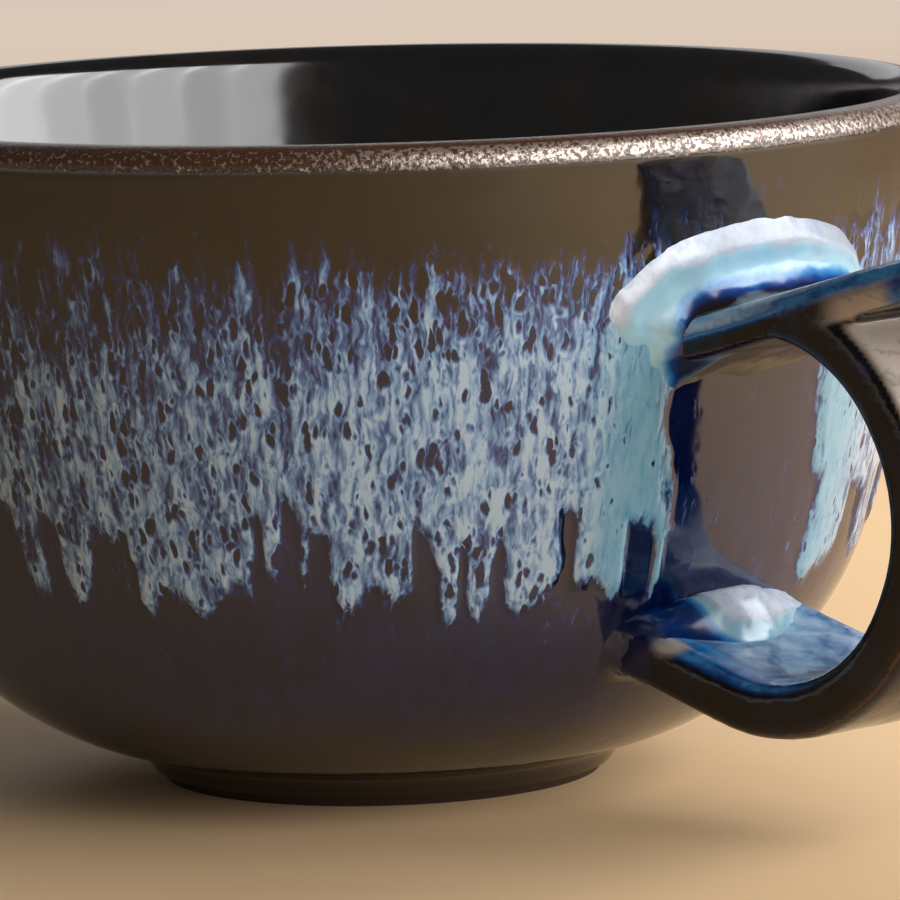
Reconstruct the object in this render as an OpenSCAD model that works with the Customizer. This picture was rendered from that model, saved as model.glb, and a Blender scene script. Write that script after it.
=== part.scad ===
// Glazed stoneware tea cup with a ring handle and a thumb rest.
// The cup stands on z = 0 with its axis on z. The handle points along +x.

/* [Bowl] */
// Height from the table to the top of the rim, over the glaze
cup_h = 62; // [58:0.5:70]
// Diameter at the rim, over the glaze
rim_d = 105; // [100:0.5:110]
// Thickness of the fired clay wall and floor
wall_t = 3.2; // [2.6:0.1:4]
// Radius of the bowl's round lower part, on the clay
bowl_r = 28.1; // [26:0.1:30]
// Radius of the flat floor in the middle of the bowl
floor_r = 17.3; // [16:0.1:18.5]
// Outward lean of the wall where it leaves the round part, in degrees
wall_lean = 16; // [13:0.5:19]

/* [Foot ring] */
// Height of the recessed base above the table
foot_h = 2.9; // [2.2:0.1:4]
// Outer diameter of the standing face
foot_d = 39.6; // [38.4:0.2:42]
// Width of the standing face
foot_face_w = 2.2; // [1.4:0.1:3]
// Diameter where the foot ring runs into the bowl
foot_top_d = 44; // [43:0.2:46]
// Slope of the foot ring's inner side, as a run in millimetres
foot_draft = 0.8; // [0.3:0.1:1.2]

/* [Handle] */
// Radius of the finger hole, in the clay
hole_r = 15.2; // [13.5:0.1:17]
// Depth of the finger hole from the cup's clay wall to the ring
hole_depth = 27.4; // [25:0.1:30]
// Height of the ring's centre above the table
ring_z = 29.8; // [28:0.1:31]
// Thickness of the ring's strap
strap_t = 4.1; // [3:0.1:5.5]
// Width of the strap, thumb rest and limbs
strap_w = 20.4; // [17:0.1:22]
// Rounding of the strap's long edges
strap_edge_r = 1.2; // [0.6:0.1:1.3]
// Slope of both limbs towards the cup, in degrees
limb_slope = 15; // [10:0.5:20]
// Thickness of the upper limb and thumb rest
limb_t = 2.9; // [2.7:0.1:4]
// How far the upper limb's lower face cuts into the finger hole
limb_sink = 1; // [0.5:0.1:1.8]
// How far the thumb rest sticks out beyond the ring
thumb_reach = 8; // [4:0.5:14]

/* [Slip joints] */
// How far the joints run out along the limbs
joint_reach = 5.5; // [4:0.1:7]
// Sideways flare of the upper joint on the wall
upper_flare = 5; // [3:0.1:6]
// Height of the upper joint above its limb
upper_rise = 8.8; // [5:0.1:9.5]
// Depth of the upper joint below its limb
upper_drop = 2.6; // [1:0.1:4]
// Sideways flare of the lower joint on the wall
lower_flare = 1.8; // [1.6:0.1:3]
// Height of the lower joint above its limb
lower_rise = 3.2; // [2:0.1:4]
// Depth of the lower joint below its limb
lower_drop = 1.2; // [0.6:0.1:2]
// Shape of the upper joint's outline: 1 is an oval, less is squarer
upper_round = 0.9; // [0.7:0.05:1]
// Shape of the lower joint's outline: 1 is an oval, less is squarer
lower_round = 0.6; // [0.5:0.05:0.65]
// How far the joints' outer ends stand proud of the limbs
joint_lip = 0.6; // [0.5:0.05:1]

/* [Glaze] */
// Thickness of the dark base glaze
glaze_t = 0.4; // [0.25:0.05:0.45]
// Thickness of the reactive drip coat
drip_t = 0.3; // [0.2:0.05:0.5]
// Clearance between the base glaze and the drip coat
coat_gap = 0.05; // [0.03:0.01:0.1]
// Height above the table where the glaze stops on the foot
glaze_stop = 0.9; // [0.5:0.1:1.4]
// Height of the drip coat's upper edge
drip_top = 52; // [44:0.5:56]
// Height where the drip coat breaks into runs
drip_low = 26; // [23:0.5:32]
// Length of the longest run
run_l = 7; // [3:0.5:7]
// Number of runs round the cup
runs = 24; // [16:1:32]
// Narrowest run, as a share of the space that each has
run_w_min = 0.6; // [0.5:0.05:0.7]
// Widest run, as a share of the space that each has
run_w_max = 0.95; // [0.7:0.05:1]
// Shortest run, as a share of the longest
run_l_min = 0.3; // [0.2:0.05:0.9]

/* [Hidden] */
$fn = 240;
arc_steps = 14;
wall_steps = 10;
rim_steps = 12;
corner_steps = 5;
joint_steps = 7;
joint_edges = 10;
golden_angle = 137.5;
run_steps = 8;
coat_rows = 5;

// The bowl's round part is an arc about this point, in radius and height
bowl_z = foot_h + bowl_r;
join_z = bowl_z - bowl_r * sin(wall_lean);
rim_round = wall_t / 2;
rim_z = cup_h - glaze_t - rim_round;
rim_r = rim_d / 2 - glaze_t;
foot_r = foot_d / 2;
foot_top_r = foot_top_d / 2;
foot_in_r = foot_r - foot_face_w;

// The upper wall bends evenly from the bowl's lean to the rim's radius
wall_run = rim_z - join_z;
wall_bend = (join_r(0) + tan(wall_lean) * wall_run - rim_r) / pow(wall_run, 2);

ring_mid_r = hole_r + strap_t / 2;
ring_x = wall_r(ring_z, 0) + hole_depth - hole_r;
ring_out_x = ring_x + hole_r + strap_t;
upper_off = hole_r - limb_sink + limb_t / 2;
// The ring runs from the lower limb round to where it sinks under the upper limb's top
ring_start = -90 - limb_slope;
ring_end = 90 + limb_slope - acos(min(1, (upper_off + limb_t / 2) / (hole_r + strap_t)));
thumb_r = strap_w / 2;
thumb_x = (ring_out_x + thumb_reach - thumb_r - ring_x + upper_off * sin(limb_slope)) / cos(limb_slope);
upper_wall_z = limb_z_at_wall(1, upper_off, ring_z);
lower_wall_z = limb_z_at_wall(-1, ring_mid_r, ring_z);

// Radius of the clay where the round part ends, with the surface moved out by grow
function join_r(grow) = floor_r + sqrt(pow(bowl_r + grow, 2) - pow(join_z - bowl_z, 2));

// Outer radius of the bowl at a height, with the surface moved out by grow
function wall_r(z, grow) =
    z <= join_z ? floor_r + sqrt(pow(bowl_r + grow, 2) - pow(z - bowl_z, 2))
                : join_r(grow) + tan(wall_lean) * (z - join_z) - wall_bend * pow(z - join_z, 2);

// Distance from the axis plane to the wall along x
function wall_x(y, z, grow) = sqrt(pow(wall_r(z, grow), 2) - pow(y, 2));

// Angle from straight down at which the round part has a radius
function bowl_angle(r, grow) = asin((r - floor_r) / (bowl_r + grow));

// Points of the bowl's surface from a start angle up to the rim's round
function bowl_curve(start, grow) = concat(
    [for (i = [0 : arc_steps]) let (a = start + (90 - wall_lean - start) * i / arc_steps)
        [floor_r + (bowl_r + grow) * sin(a), bowl_z - (bowl_r + grow) * cos(a)]],
    wall_curve(bowl_z - (bowl_r + grow) * sin(wall_lean), rim_z, wall_steps, grow));

// Points of the wall between two heights, without the first
function wall_curve(low, high, steps, grow) =
    [for (i = [1 : steps]) let (z = low + (high - low) * i / steps) [wall_r(z, grow), z]];

function reversed(list) = [for (i = [len(list) - 1 : -1 : 0]) list[i]];

// Half round over the rim from one angle to another
function rim_arc(from, to, grow) =
    [for (i = [0 : rim_steps]) let (a = from + (to - from) * i / rim_steps)
        [rim_mid_r() + (rim_round + grow) * cos(a), rim_z + (rim_round + grow) * sin(a)]];
function rim_mid_r() = (wall_r(rim_z, 0) + wall_r(rim_z, -wall_t)) / 2;

// Side of the foot ring and the bowl above it, from a height up to the rim
function outside(low, grow) = concat(
    [[foot_r + (foot_top_r - foot_r) * low / foot_h + grow, low]],
    bowl_curve(bowl_angle(foot_top_r + grow, grow), grow));

// Bowl's inside from the middle of the floor up to the rim
function inside(grow) = concat([[0, bowl_z - bowl_r - grow]], bowl_curve(0, grow));

// Rounded rectangle as points about the origin, with its straight edges in a number of steps
function rounded(w, h, r, edges = 1) = [
    for (c = [0 : 3])
        let (sx = (c == 0 || c == 3) ? 1 : -1,
             sy = c < 2 ? 1 : -1,
             middle = [sx * (w / 2 - r), sy * (h / 2 - r)],
             end = 90 * (c + 1),
             run = (c % 2 == 0 ? w : h) - 2 * r)
        each concat(
            [for (i = [0 : corner_steps]) let (a = 90 * (c + i / corner_steps))
                middle + r * [cos(a), sin(a)]],
            [for (i = [1 : 1 : edges - 1])
                middle + r * [cos(end), sin(end)] + run * i / edges * [-sin(end), cos(end)]])];

// Height at which a limb's middle line meets the cup's wall, found by repeated steps
function limb_z(side, off, x) = ring_z + side * (off / cos(limb_slope) + (x - ring_x) * tan(limb_slope));
function limb_z_at_wall(side, off, z, tries = 12) =
    tries == 0 ? z : limb_z_at_wall(side, off, limb_z(side, off, wall_r(z, 0)), tries - 1);

// Runs of the drip coat: even steps spread by the golden angle look uneven
function scatter(i) = 0.5 + 0.5 * sin(i * golden_angle);

// The whole space inside the cup's outer surface
module cup_form(grow) {
    rotate_extrude()
        polygon(concat([[0, 0]], [[foot_r, 0]], outside(0, grow), [[0, rim_z]]));
}

module cup_body() {
    color("#8a6a4c")
        rotate_extrude()
            polygon(concat(
                [[0, foot_h], [foot_in_r - foot_draft, foot_h], [foot_in_r, 0]],
                outside(0, 0),
                rim_arc(0, 180, 0),
                reversed(inside(-wall_t))));
}

// Strap section with its surface moved out by grow, thickness along the first axis
module strap_section(t, grow) {
    polygon(rounded(t + 2 * grow, strap_w + 2 * grow, strap_edge_r + grow));
}

// A straight limb at a distance from the ring's centre, side 1 above it and -1 below it
module limb(side, off, t, from, to, grow) {
    translate([ring_x, 0, ring_z])
        rotate([0, -side * limb_slope, 0])
            translate([from, 0, side * off])
                rotate([0, 90, 0])
                    linear_extrude(to - from)
                        strap_section(t, grow);
}

// Round end of the thumb rest
module thumb_end(grow) {
    translate([ring_x, 0, ring_z])
        rotate([0, -limb_slope, 0])
            translate([thumb_x, 0, upper_off])
                rotate([0, 0, -90])
                    rotate_extrude(angle = 180)
                        intersection() {
                            rotate(90) strap_section(limb_t, grow);
                            translate([0, -limb_t]) square([strap_w, 2 * limb_t]);
                        }
}

// Ring, upper limb with thumb rest and lower limb, running on into the cup
module handle_form(grow) {
    translate([ring_x, 0, ring_z])
        rotate([90, 0, 0])
            rotate([0, 0, ring_start])
                rotate_extrude(angle = ring_end - ring_start)
                    translate([ring_mid_r, 0])
                        strap_section(strap_t, grow);
    limb(1, upper_off, limb_t, -ring_x, thumb_x, grow);
    thumb_end(grow);
    limb(-1, ring_mid_r, strap_t, -ring_x, 0, grow);
}

module handle() {
    color("#3a2a1c")
        difference() {
            handle_form(0);
            cup_form(0);
        }
}

// Section of a joint where it ends on its limb
function joint_tip(t) = rounded(strap_w + 2 * joint_lip, t + 2 * joint_lip, strap_edge_r, joint_edges);

// Oval outline of a joint on the wall, with one point for each point of its tip, and its middle height
function joint_z(z, rise, drop) = z + (rise - drop) / 2;
function joint_points(t, flare, rise, drop, round) =
    [for (p = joint_tip(t))
        let (a = atan2(p[1] / (t / 2 + joint_lip), p[0] / (strap_w / 2 + joint_lip)))
        [(strap_w / 2 + flare) * sign(cos(a)) * pow(abs(cos(a)), round),
         (t + rise + drop) / 2 * sign(sin(a)) * pow(abs(sin(a)), round)]];

// Fillet of slip from the wall to a limb: rings that shrink to the limb's section as they leave the wall
module joint_form(side, off, z, t, flare, rise, drop, round) {
    base = [for (p = joint_points(t, flare, rise, drop, round)) [p[0], p[1] + joint_z(z, rise, drop)]];
    tip = joint_tip(t);
    count = len(base);
    steps = concat([-1], [for (i = [0 : joint_steps]) i / joint_steps]);
    points = [for (s = steps, i = [0 : count - 1])
        let (shrink = s < 0 ? 0 : sin(90 * s),
             out = s < 0 ? -wall_t : joint_reach * (1 - cos(90 * s)),
             x = wall_x(tip[i][0], tip[i][1] + z, glaze_t) + out,
             end = [tip[i][0], tip[i][1] / cos(limb_slope) + limb_z(side, off, x)],
             p = base[i] + (end - base[i]) * shrink)
        [wall_x(p[0], p[1], glaze_t) + out, p[0], p[1]]];
    last = len(steps) - 1;
    sides = [for (k = [0 : last - 1], i = [0 : count - 1]) let (j = (i + 1) % count)
        each [[k * count + i, (k + 1) * count + i, (k + 1) * count + j],
              [k * count + i, (k + 1) * count + j, k * count + j]]];
    caps = [for (i = [1 : count - 2])
        each [[0, i, i + 1], [last * count, last * count + i + 1, last * count + i]]];
    polyhedron(points, concat(sides, caps));
}

module upper_joint_form() {
    joint_form(1, upper_off, upper_wall_z, limb_t, upper_flare, upper_rise, upper_drop, upper_round);
}

module lower_joint_form() {
    joint_form(-1, ring_mid_r, lower_wall_z, strap_t, lower_flare, lower_rise, lower_drop, lower_round);
}

module upper_slip_joint() {
    color("#b9d7de")
        difference() {
            upper_joint_form();
            cup_form(0);
            handle_form(0);
        }
}

module lower_slip_joint() {
    color("#6f9cc4")
        difference() {
            lower_joint_form();
            cup_form(0);
            handle_form(0);
        }
}

// The joints' outlines pushed through the wall along x, to clear the glaze there
module joint_holes() {
    translate([0, 0, joint_z(upper_wall_z, upper_rise, upper_drop)])
        rotate([90, 0, 90])
            linear_extrude(rim_d)
                polygon(joint_points(limb_t, upper_flare, upper_rise, upper_drop, upper_round));
    translate([0, 0, joint_z(lower_wall_z, lower_rise, lower_drop)])
        rotate([90, 0, 90])
            linear_extrude(rim_d)
                polygon(joint_points(strap_t, lower_flare, lower_rise, lower_drop, lower_round));
}

module inner_glaze() {
    color("#10131c")
        rotate_extrude()
            polygon(concat(
                inside(-wall_t),
                reversed(rim_arc(90, 180, 0)),
                rim_arc(90, 180, glaze_t),
                reversed(inside(-wall_t - glaze_t))));
}

module outer_glaze() {
    color("#1d1a1c")
        difference() {
            rotate_extrude()
                polygon(concat(
                    outside(glaze_stop, glaze_t),
                    rim_arc(0, 90, glaze_t),
                    reversed(rim_arc(0, 90, 0)),
                    reversed(outside(glaze_stop, 0))));
            joint_holes();
        }
}

// Lower edge of the drip coat, counted in runs from one end: tongues that are uneven in width and length
function drip_edge(u) =
    let (i = floor(u),
         half = (run_w_min + (run_w_max - run_w_min) * scatter(3 * i + 1)) / 2,
         off = min(1, abs(u - i - 0.5) / half),
         long = run_l * (run_l_min + (1 - run_l_min) * scatter(i)))
    drip_low - long * cos(90 * off);

// The second coat hangs as a band that breaks into runs, and leaves the wall behind the handle bare
module drip_glaze() {
    bare = asin((strap_w / 2 + upper_flare) / join_r(0));
    columns = runs * run_steps;
    rows = coat_rows;
    ring = 2 * (rows + 1);
    points = [for (c = [0 : columns])
        let (a = bare + (360 - 2 * bare) * c / columns, low = drip_edge(c / run_steps))
        for (side = [0, 1], k = [0 : rows])
            let (v = side == 0 ? k / rows : 1 - k / rows,
                 z = low + (drip_top - low) * v,
                 r = wall_r(z, glaze_t + coat_gap + (side == 0 ? drip_t : 0)))
            [r * cos(a), r * sin(a), z]];
    sides = [for (c = [0 : columns - 1], i = [0 : ring - 1]) let (j = (i + 1) % ring)
        each [[c * ring + i, c * ring + j, (c + 1) * ring + j],
              [c * ring + i, (c + 1) * ring + j, (c + 1) * ring + i]]];
    strips = [for (k = [0 : rows - 1]) let (e = columns * ring)
        each [[k, ring - 1 - k, ring - 2 - k], [k, ring - 2 - k, k + 1],
              [e + k, e + ring - 2 - k, e + ring - 1 - k], [e + k, e + k + 1, e + ring - 2 - k]]];
    color("#9cb8c8")
        polyhedron(points, concat(sides, strips));
}

module handle_glaze() {
    color("#2a2018")
        difference() {
            handle_form(glaze_t);
            handle_form(0);
            cup_form(glaze_t);
            upper_joint_form();
            lower_joint_form();
        }
}

cup_body();
handle();
upper_slip_joint();
lower_slip_joint();
inner_glaze();
outer_glaze();
drip_glaze();
handle_glaze();
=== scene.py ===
"""Glazed stoneware tea cup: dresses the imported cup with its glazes, drips and pools, and sets the stage."""

import math

import bpy
import numpy as np
from bpy.props import FloatProperty, FloatVectorProperty, PointerProperty
from bpy.types import NodeSocket, Operator, Panel, PropertyGroup, Scene
from mathutils import Matrix, Vector, noise


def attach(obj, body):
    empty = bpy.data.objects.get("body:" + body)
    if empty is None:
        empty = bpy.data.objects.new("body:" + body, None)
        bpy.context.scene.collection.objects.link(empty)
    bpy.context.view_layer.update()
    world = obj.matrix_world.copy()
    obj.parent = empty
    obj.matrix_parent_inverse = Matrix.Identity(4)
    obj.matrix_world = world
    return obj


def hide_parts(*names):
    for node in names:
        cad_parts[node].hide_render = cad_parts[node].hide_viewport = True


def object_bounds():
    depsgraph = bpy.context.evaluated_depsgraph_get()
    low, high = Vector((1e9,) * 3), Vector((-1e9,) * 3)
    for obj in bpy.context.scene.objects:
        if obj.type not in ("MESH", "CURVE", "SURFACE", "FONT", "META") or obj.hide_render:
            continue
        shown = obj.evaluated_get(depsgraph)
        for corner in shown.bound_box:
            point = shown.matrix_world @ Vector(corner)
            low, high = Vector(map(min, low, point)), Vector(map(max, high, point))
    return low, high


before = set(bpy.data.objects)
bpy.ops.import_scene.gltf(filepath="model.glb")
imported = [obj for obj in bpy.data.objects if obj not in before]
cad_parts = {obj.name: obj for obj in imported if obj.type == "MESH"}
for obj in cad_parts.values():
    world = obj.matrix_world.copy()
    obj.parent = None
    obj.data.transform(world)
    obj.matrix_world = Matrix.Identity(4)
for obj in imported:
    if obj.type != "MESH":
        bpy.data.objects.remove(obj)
cad_low, cad_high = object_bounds()

bl_info = {
    "name": "Tea cup",
    "version": (1, 0, 0),
    "blender": (4, 5, 0),
    "location": "View3D > Sidebar > Tea cup",
    "description": "Models the glazes, drips, pools and handle of a stoneware tea cup round its packed clay",
    "category": "Object",
}

MM = 0.001
HIDDEN_GAP = 3 * MM  # between points on the faces that lie on the clay
GLAZE_IOR = 1.8
INSIDE_IOR = 2.0
HANDLE_IOR = 1.45
GLAZE_SPAN = 0.062  # metres over which the base glaze changes colour
STRANDS = (
    # scale of the noise, scale and reach of what stirs it, how far it is drawn out, and its weight
    (800, 200, 0.0014, 14.0, 1.2),
    (1900, 420, 0.0007, 12.0, 2.0),
    (620, 400, 0.0008, 6.0, 1.0),
)
STRAND_LEVEL = -2.15  # brings the sum of the strands to about zero


def length(name, description, millimetres):
    """A size that a user would change, kept in metres."""
    default = millimetres * MM
    return FloatProperty(name=name, description=description, default=default, unit="LENGTH", precision=5)


def tilt(name, description, degrees):
    """An angle that a user would change, given in degrees."""
    return FloatProperty(name=name, description=description, default=math.radians(degrees), subtype="ANGLE")


def colour(name, description, red, green, blue):
    """A glaze or clay colour, given as it looks on a screen and kept linear."""
    linear = [(c / 255) ** 2.2 for c in (red, green, blue)]
    return FloatVectorProperty(name=name, description=description, default=linear, size=3, subtype="COLOR")


class CupSizes(PropertyGroup):
    """Sizes of the cup, as its solids have them."""

    cup_h: length("Height", "From the table to the rim's crest, over the glaze", cad_high.z / MM)
    rim_r: length("Rim radius", "Outer radius at the rim, over the glaze", cad_high.y / MM)
    wall_t: length("Clay wall", "Thickness of the fired clay", 3.2)
    bowl_r: length("Bowl radius", "Radius of the bowl's round lower part, on the clay", 28.1)
    floor_r: length("Floor radius", "Radius of the flat floor", 17.3)
    wall_lean: tilt("Wall lean", "Lean of the wall above the round part", 16)
    foot_h: length("Foot height", "Height of the recessed base", 2.9)
    foot_r: length("Foot radius", "Outer radius of the standing face", 19.8)
    foot_top_r: length("Foot top radius", "Radius where the foot runs into the bowl", 22)
    foot_fillet: length("Foot fillet", "Reach of the glaze that pools over the foot", 1.1)
    glaze_t: length("Glaze", "Thickness of the base glaze", 0.4)
    glaze_stop: length("Glaze stop", "Height where the glaze stops on the foot", 0.9)


class HandleSizes(PropertyGroup):
    """Sizes of the handle and its joints, as its solids have them."""

    ring_x: length("Ring reach", "From the cup's axis to the ring's centre", 58.3)
    ring_z: length("Ring height", "Height of the ring's centre", 29.8)
    hole_r: length("Hole radius", "Radius of the finger hole, in the clay", 15.2)
    strap_t: length("Strap", "Thickness of the ring's strap", 4.1)
    strap_w: length("Strap width", "Width of the strap and thumb rest", 20.4)
    edge_r: length("Edge", "Rounding of the strap's edges, over the glaze", 1.3)
    limb_t: length("Limb", "Thickness of the upper limb and thumb rest", 2.9)
    limb_sink: length("Limb sink", "How far the upper limb cuts into the finger hole", 1)
    limb_slope: tilt("Limb slope", "Slope of both limbs", 15)
    thumb_reach: length("Thumb rest", "How far the thumb rest sticks out beyond the ring", 8)
    joint_reach: length("Joint reach", "How far the joints run out along the limbs", 5.5)


class GlazeColours(PropertyGroup):
    """Colours of the clay and of the glazes."""

    clay: colour("Clay", "Bare fired clay", 60, 44, 32)
    olive: colour("Olive", "Base glaze on the upper wall", 31, 21, 5)
    navy: colour("Navy", "Base glaze in the middle", 14, 20, 48)
    plum: colour("Plum", "Base glaze low on the bowl", 27, 33, 70)
    deep: colour("Deep blue", "Base glaze behind the handle", 2, 24, 66)
    umber: colour("Umber", "Base glaze where it breaks over the rim and edges", 74, 46, 28)
    # Pale grains; base_colour spreads them more thickly towards the handle and window, as painted glints.
    grit: colour("Grit", "Pale grains of the glaze on the rim", 204, 186, 172)
    inside: colour("Inside", "Glaze inside the cup", 8, 9, 16)
    thin_coat: colour("Thin coat", "Drip coat where it is thin", 34, 48, 100)
    mid_coat: colour("Middle coat", "Drip coat at half its thickness", 74, 106, 156)
    thick_coat: colour("Thick coat", "Drip coat where it is thick", 130, 168, 208)
    crest_coat: colour("Crest coat", "Drip coat where it is thickest", 178, 204, 224)
    run_coat: colour("Run", "Drip coat beside the handle", 122, 186, 208)
    pool: colour("Pool", "Thickest glaze, on the slip joints", 176, 182, 192)
    # Painted light: this whiter glaze is laid over the pools where the handle shades them.
    snow_and_painted_light: colour("Snow", "Thickest glaze in the shade of the handle", 226, 237, 252)
    cyan: colour("Cyan", "Glaze inside the pools' edges", 160, 206, 224)
    sky: colour("Sky", "Glaze where the pools run thin", 66, 146, 208)
    azure: colour("Azure", "Glaze at the pools' inner edges", 14, 66, 140)
    handle: colour("Handle", "Glaze on the handle", 22, 17, 10)
    # Also laid on the ring's outer face as a painted reflection of the window.
    pale_bead_and_painted_reflection: colour("Bead", "Pale glaze that beads along the thumb rest's side", 190, 178, 166)


class CupForm:
    """The cup's outline worked out from its sizes: a round bowl that runs on into a gently bending wall."""

    def __init__(self, sizes):
        self.s = sizes
        self.bowl_z = sizes.foot_h + sizes.bowl_r
        self.join_z = self.bowl_z - sizes.bowl_r * math.sin(sizes.wall_lean)
        self.rim_round = sizes.wall_t / 2
        self.rim_z = sizes.cup_h - sizes.glaze_t - self.rim_round
        run = self.rim_z - self.join_z
        rim_r = sizes.rim_r - sizes.glaze_t
        self.bend = (self.join_r(0) + math.tan(sizes.wall_lean) * run - rim_r) / run**2
        self.rim_mid = (self.wall(self.rim_z, 0) + self.wall(self.rim_z, -sizes.wall_t)) / 2

    def join_r(self, grow):
        """Radius where the round part ends, moved out by grow."""
        return self.s.floor_r + math.sqrt((self.s.bowl_r + grow) ** 2 - (self.join_z - self.bowl_z) ** 2)

    def wall(self, z, grow):
        """Outer radius of the clay at a height, moved out by grow."""
        z = np.asarray(z, float)
        drop = np.minimum(z, self.join_z) - self.bowl_z
        low = self.s.floor_r + np.sqrt(np.maximum((self.s.bowl_r + grow) ** 2 - drop**2, 0))
        rise = np.maximum(z - self.join_z, 0)
        high = self.join_r(grow) + math.tan(self.s.wall_lean) * rise - self.bend * rise**2
        return np.where(z <= self.join_z, low, high)

    def bowl(self, start, grow):
        """Points of the bowl and wall from an angle off straight down up to the rim's round."""
        r = self.s.bowl_r + grow
        turn = np.linspace(start, math.pi / 2 - self.s.wall_lean, 60)
        arc = [(self.s.floor_r + r * math.sin(a), self.bowl_z - r * math.cos(a)) for a in turn]
        heights = np.linspace(arc[-1][1], self.rim_z, 60)[1:]
        return arc + [(float(self.wall(z, grow)), float(z)) for z in heights]

    def rim(self, start, end, grow):
        """Points of the half round over the rim between two angles."""
        r = self.rim_round + grow
        return [
            (self.rim_mid + r * math.cos(a), self.rim_z + r * math.sin(a))
            for a in np.radians(np.linspace(start, end, 24))
        ]

    def outside(self, grow):
        """Points from the glaze's lower edge up the foot, the bowl and the wall."""
        s = self.s
        slope = (s.foot_top_r - s.foot_r) / s.foot_h
        bowl = self.bowl(math.asin((s.foot_top_r + grow - s.floor_r) / (s.bowl_r + grow)), grow)
        corner = Vector(bowl[0])
        first = Vector((s.foot_r + slope * s.glaze_stop + grow, s.glaze_stop))
        low = corner + (first - corner).normalized() * s.foot_fillet
        far = next(i for i, p in enumerate(bowl) if (Vector(p) - corner).length > s.foot_fillet)
        high = Vector(bowl[far])
        bend = [low.lerp(corner, t).lerp(corner.lerp(high, t), t) for t in np.linspace(0, 1, 8)]
        return [tuple(first)] + [tuple(p) for p in bend] + bowl[far + 1 :]


def spaced(points, gap):
    """The same line with its points evenly spaced, about gap apart."""
    points = np.array(points, float)
    walked = np.concatenate([[0], np.cumsum(np.linalg.norm(np.diff(points, axis=0), axis=1))])
    count = max(2, round(walked[-1] / gap) + 1)
    at = np.linspace(0, walked[-1], count)
    return np.stack([np.interp(at, walked, points[:, i]) for i in (0, 1)], 1).tolist()


def mode(name):
    """Switch between editing a mesh and handling the whole object."""
    bpy.ops.object.mode_set(mode=name)


def pick(action):
    """Select or deselect all of the mesh that is being edited."""
    bpy.ops.mesh.select_all(action=action)


def push(step):
    """Extrude what is selected by a step."""
    bpy.ops.mesh.extrude_region_move(TRANSFORM_OT_translate={"value": step})


def started(name):
    """Name the object that was just added and start to edit all of it."""
    piece = bpy.context.object
    piece.name = name
    piece.data.name = name
    mode("EDIT")
    pick("SELECT")
    return piece


def one_point(name, place):
    """A new object in edit mode with a single point, to extrude from."""
    bpy.ops.mesh.primitive_plane_add(size=MM, calc_uvs=False)
    piece = started(name)
    bpy.ops.mesh.merge(type="CENTER")
    bpy.ops.transform.translate(value=place)
    return piece


def trace(outline):
    """Extrude the single point along a closed outline of radius and height, and join its ends."""
    for a, b in zip(outline, outline[1:] + outline[:1]):
        push((b[0] - a[0], 0, b[1] - a[1]))
    pick("SELECT")
    bpy.ops.mesh.remove_doubles(threshold=1e-6)


def tidy_up(smooth_angle):
    """Close the mesh that is being edited, turn it outwards and shade it smooth."""
    pick("SELECT")
    bpy.ops.mesh.remove_doubles(threshold=2e-6)
    bpy.ops.mesh.normals_make_consistent(inside=False)
    mode("OBJECT")
    bpy.ops.object.shade_smooth_by_angle(angle=math.radians(smooth_angle))


def turned(name, outline, steps):
    """A closed outline of radius and height, spun round the cup's axis."""
    piece = one_point(name, (outline[0][0], 0, outline[0][1]))
    trace(outline)
    bpy.ops.mesh.spin(steps=steps, angle=2 * math.pi, center=(0, 0, 0), axis=(0, 0, 1), use_auto_merge=True)
    tidy_up(40)
    return piece


def read(items, key, wide=1, kind=np.float32):
    """One number or vector of every point, corner or face, as an array."""
    flat = np.zeros(len(items) * wide, kind)
    items.foreach_get(key, flat)
    return flat.reshape(-1, wide) if wide > 1 else flat


def points_of(piece, what="co"):
    """The mesh's points, or what else they keep, as an array."""
    return read(piece.data.vertices, what, 3).astype(float)


def keep_fields(piece, **fields):
    """Keep numbers on the mesh's points under their names, for its material."""
    for name, values in fields.items():
        field = piece.data.attributes.new(name, "FLOAT", "POINT")
        field.data.foreach_set("value", np.asarray(values, np.float32))


def apply_modifier(piece, name, kind, **settings):
    """Add a modifier, set it and apply it."""
    bpy.context.view_layer.objects.active = piece
    modifier = piece.modifiers.new(name, kind)
    for key, value in settings.items():
        setattr(modifier, key, value)
    bpy.ops.object.modifier_apply(modifier=modifier.name)


def uneven(piece, name, size, depth, detail):
    """Move a mesh's points out and in by soft clouds of about that size, by depth in all."""
    clouds = bpy.data.textures.new(piece.name + " clouds", "CLOUDS")
    clouds.noise_scale = size
    clouds.noise_depth = detail
    place = {"texture": clouds, "texture_coords": "LOCAL"}
    apply_modifier(piece, name, "DISPLACE", strength=depth, mid_level=0.5, **place)


def strip_map(piece, strips, low, high):
    """A texture map of a turned piece between two heights, its round cut in strips above each other."""
    mesh = piece.data
    layer = mesh.uv_layers.new(name="OFBake")
    owner = read(mesh.loops, "vertex_index", kind=np.int32)
    total = read(mesh.polygons, "loop_total", kind=np.int32)
    face = np.repeat(np.arange(len(total)), total)
    points = points_of(piece)

    def turn(places):
        return np.arctan2(places[:, 1], places[:, 0]) / (2 * math.pi) % 1

    centre = turn(read(mesh.polygons, "center", 3))[face]
    strip = np.floor(centre * strips).clip(0, strips - 1)
    around = (turn(points)[owner] - centre + 0.5) % 1 - 0.5 + centre
    u = 0.01 + 0.98 * (around * strips - strip)
    up = ((points[:, 2] - low) / (high - low)).clip(0, 1)
    v = (strip + 0.02 + 0.96 * up[owner]) / strips
    layer.data.foreach_set("uv", np.stack([u, v], 1).astype(np.float32).ravel())


def on_round(angle, z, across, along):
    """Noise from -1 to 1 on the cup's wall, with lumps of that width and height in millimetres."""
    r = 47
    x = r * np.cos(angle) / across
    y = r * np.sin(angle) / across
    return np.array([noise.noise((a, b, c)) for a, b, c in zip(x, y, z / along)])


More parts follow.
